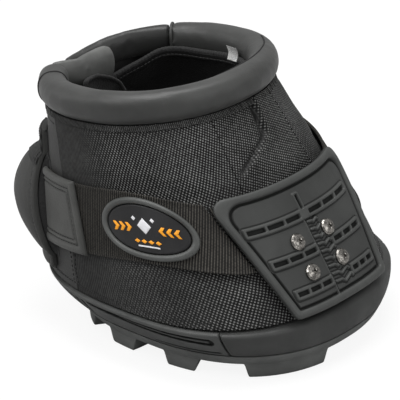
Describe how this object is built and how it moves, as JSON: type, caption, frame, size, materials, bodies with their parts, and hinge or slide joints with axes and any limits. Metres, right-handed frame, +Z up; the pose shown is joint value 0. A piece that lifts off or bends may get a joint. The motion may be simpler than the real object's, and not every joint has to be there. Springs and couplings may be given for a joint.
{
  "type": "horse hoof boot",
  "caption": "Hoof boot with lugged rubber sole, woven upper, padded collar with opening heel flap, and a webbing strap holding a moulded toe shield.",
  "frame": {"origin": "on the ground, under the middle of the whole boot", "axes": "+X towards the toe, +Y towards the far side that the flap is sewn to, +Z up"},
  "size_m": [0.1878, 0.167, 0.1389],
  "materials": {
    "outsole": "matt moulded rubber",
    "cup": "satin moulded rubber",
    "insole": "closed-cell foam",
    "woven": "coarse basket-weave nylon",
    "heel_cloth": "smooth coated cloth",
    "collar": "soft satin synthetic leather",
    "liner": "knitted lining",
    "binding": "folded tape",
    "sling": "satin synthetic leather, double stitched",
    "webbing": "ribbed webbing",
    "hook_and_loop": "hook and loop tape",
    "badge_rim": "satin moulded rubber",
    "badge_insert": "moulded rubber with a plain pattern",
    "shield": "satin moulded rubber",
    "steel": "bright steel",
    "tag": "white woven tape"
  },
  "bodies": {
    "boot": {"outsole": "outsole", "sole_cup": "cup", "toe_bumper": "cup", "insole_pad": "insole", "near_side_panel": "woven", "far_side_panel": "woven", "front_gusset": "woven", "near_heel_panel": "heel_cloth", "far_heel_panel": "heel_cloth", "near_heel_loop": "heel_cloth", "far_heel_loop": "heel_cloth", "collar_roll": "collar", "collar_tongue": "collar", "liner": "liner", "liner_binding": "binding", "heel_sling": "sling", "near_strap_root": "webbing", "far_strap": "webbing", "loop_panel": "hook_and_loop", "collar_tag_1": "tag", "collar_tag_2": "tag"},
    "strap": {"near_strap": "webbing", "badge_rim": "badge_rim", "badge_insert": "badge_insert"},
    "shield": {"front_shield": "shield", "near_strap_end": "webbing", "hook_pad_side": "hook_and_loop", "hook_pad_low": "hook_and_loop", "shield_screw_1": "steel", "shield_screw_2": "steel", "shield_screw_3": "steel", "shield_screw_4": "steel", "tee_nut_1": "steel", "tee_nut_2": "steel", "tee_nut_3": "steel", "tee_nut_4": "steel"},
    "flap": {"flap_roll": "collar", "closure_flap": "heel_cloth"}
  },
  "joints": [
    {"name": "strap_fold", "type": "hinge", "parent": "boot", "child": "strap", "pos_m": [-0.02566, -0.07358, 0.06911], "axis": [0.4022, -0.2023, -0.8929], "range_deg": [0, 60]},
    {"name": "shield_fold", "type": "hinge", "parent": "strap", "child": "shield", "pos_m": [0.06434, -0.04357, 0.05671], "axis": [0.6518, 0.1758, -0.7378], "range_deg": [0, 45]},
    {"name": "flap_fold", "type": "hinge", "parent": "boot", "child": "flap", "pos_m": [-0.06824, 0.0533, 0.11461], "axis": [0.2201, 0.0906, -0.9713], "range_deg": [0, 60]}
  ]
}
